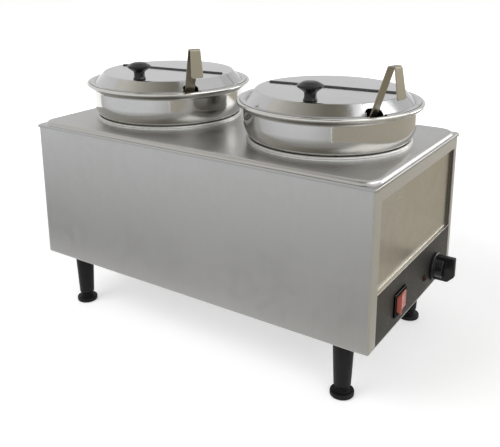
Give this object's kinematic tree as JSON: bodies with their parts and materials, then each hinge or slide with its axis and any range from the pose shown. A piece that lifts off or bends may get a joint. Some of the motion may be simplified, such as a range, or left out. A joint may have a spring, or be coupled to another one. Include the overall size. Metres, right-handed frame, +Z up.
{
  "type": "countertop topping warmer",
  "caption": "Countertop topping warmer: steel casing on tapered legs, sunken water wells, lift-out insets with hinged lids and hooked ladles, end controls.",
  "frame": {"origin": "centre of the whole box, on the counter under the feet", "axes": "+X along the length towards the control end, +Y to the rear, +Z up"},
  "size_m": [0.6054, 0.3234, 0.4325],
  "materials": {
    "casing_steel": "brushed",
    "deck_steel": "fine brushed",
    "well_steel": "polished",
    "inset_steel": "mirror polished",
    "lid_steel": "polished",
    "ladle_steel": "satin",
    "pin_steel": "plain",
    "zinc_steel": "zinc plated",
    "black_plate": "satin",
    "black_knob": "glossy",
    "black_leg": "satin",
    "black_fitting": "satin",
    "red_rocker": "glossy, translucent",
    "amber_lens": "glossy, translucent",
    "phenolic": "moulded",
    "heater_plate": "heat tinted",
    "copper": "drawn",
    "fibre": "felted"
  },
  "bodies": {
    "root": {"deck_top": "deck_steel", "outer_casing": "casing_steel", "end_panel": "casing_steel", "control_plate": "black_plate", "base_pan": "casing_steel", "casing_screws": "zinc_steel", "control_screws": "zinc_steel", "thermostat_body": "phenolic", "capillary_bulb": "copper", "rocker_bezel": "black_fitting", "pilot_lamp": "amber_lens", "cord_gland": "black_fitting", "gland_nut": "black_fitting", "terminal_block": "phenolic", "leg_nuts": "zinc_steel", "clamp_nuts": "zinc_steel", "leg_front_left": "black_leg", "leg_front_right": "black_leg", "leg_rear_left": "black_leg", "leg_rear_right": "black_leg", "well_left": "well_steel", "heater_left": "heater_plate", "heater_clamp_left": "zinc_steel", "insulation_left": "fibre", "well_right": "well_steel", "heater_right": "heater_plate", "heater_clamp_right": "zinc_steel", "insulation_right": "fibre"},
    "dial": {"thermostat_knob": "black_knob", "thermostat_shaft": "zinc_steel"},
    "rocker": {"rocker_paddle": "red_rocker"},
    "foot_front_left": {"foot_front_left": "black_leg"},
    "foot_front_right": {"foot_front_right": "black_leg"},
    "foot_rear_left": {"foot_rear_left": "black_leg"},
    "foot_rear_right": {"foot_rear_right": "black_leg"},
    "inset_left": {"inset_left": "inset_steel"},
    "lid_left": {"lid_rear_left": "lid_steel", "hinge_pin_left": "pin_steel"},
    "flap_left": {"lid_flap_left": "lid_steel", "lid_knob_left": "black_knob", "knob_screw_left": "pin_steel"},
    "ladle_left": {"ladle_handle_left": "ladle_steel", "ladle_bowl_left": "ladle_steel"},
    "inset_right": {"inset_right": "inset_steel"},
    "lid_right": {"lid_rear_right": "lid_steel", "hinge_pin_right": "pin_steel"},
    "flap_right": {"lid_flap_right": "lid_steel", "lid_knob_right": "black_knob", "knob_screw_right": "pin_steel"},
    "ladle_right": {"ladle_handle_right": "ladle_steel", "ladle_bowl_right": "ladle_steel"}
  },
  "joints": [
    {"name": "inset_left_lift", "type": "slide", "parent": "root", "child": "inset_left", "axis": [0, 0, 1], "range_m": [0, 0.2]},
    {"name": "lid_left_lift", "type": "slide", "parent": "inset_left", "child": "lid_left", "axis": [0, 0, 1], "range_m": [0, 0.08]},
    {"name": "flap_left_hinge", "type": "hinge", "parent": "lid_left", "child": "flap_left", "pos_m": [-0.16113, 0.00222, 0.38193], "axis": [-0.9945, -0.1045, 0], "range_deg": [0, 155]},
    {"name": "ladle_left_draw", "type": "slide", "parent": "inset_left", "child": "ladle_left", "axis": [0.2802, -0.1962, 0.9397], "range_m": [0, 0.06]},
    {"name": "inset_right_lift", "type": "slide", "parent": "root", "child": "inset_right", "axis": [0, 0, 1], "range_m": [0, 0.2]},
    {"name": "lid_right_lift", "type": "slide", "parent": "inset_right", "child": "lid_right", "axis": [0, 0, 1], "range_m": [0, 0.08]},
    {"name": "flap_right_hinge", "type": "hinge", "parent": "lid_right", "child": "flap_right", "pos_m": [0.13087, 0.00222, 0.38193], "axis": [-0.9945, -0.1045, 0], "range_deg": [0, 155]},
    {"name": "ladle_right_draw", "type": "slide", "parent": "inset_right", "child": "ladle_right", "axis": [0.3333, -0.0769, 0.9397], "range_m": [0, 0.06]},
    {"name": "dial_turn", "type": "hinge", "parent": "root", "child": "dial", "pos_m": [0.27125, 0.07325, 0.1169], "axis": [-1, 0, 0], "range_deg": [0, 270]},
    {"name": "rocker_tilt", "type": "hinge", "parent": "root", "child": "rocker", "pos_m": [0.27245, -0.06275, 0.1208], "axis": [0, 0, -1], "range_deg": [0, 20]},
    {"name": "foot_front_left_screw", "type": "slide", "parent": "root", "child": "foot_front_left", "axis": [0, 0, -1], "range_m": [0, 0.02]},
    {"name": "foot_front_right_screw", "type": "slide", "parent": "root", "child": "foot_front_right", "axis": [0, 0, -1], "range_m": [0, 0.02]},
    {"name": "foot_rear_left_screw", "type": "slide", "parent": "root", "child": "foot_rear_left", "axis": [0, 0, -1], "range_m": [0, 0.02]},
    {"name": "foot_rear_right_screw", "type": "slide", "parent": "root", "child": "foot_rear_right", "axis": [0, 0, -1], "range_m": [0, 0.02]}
  ]
}
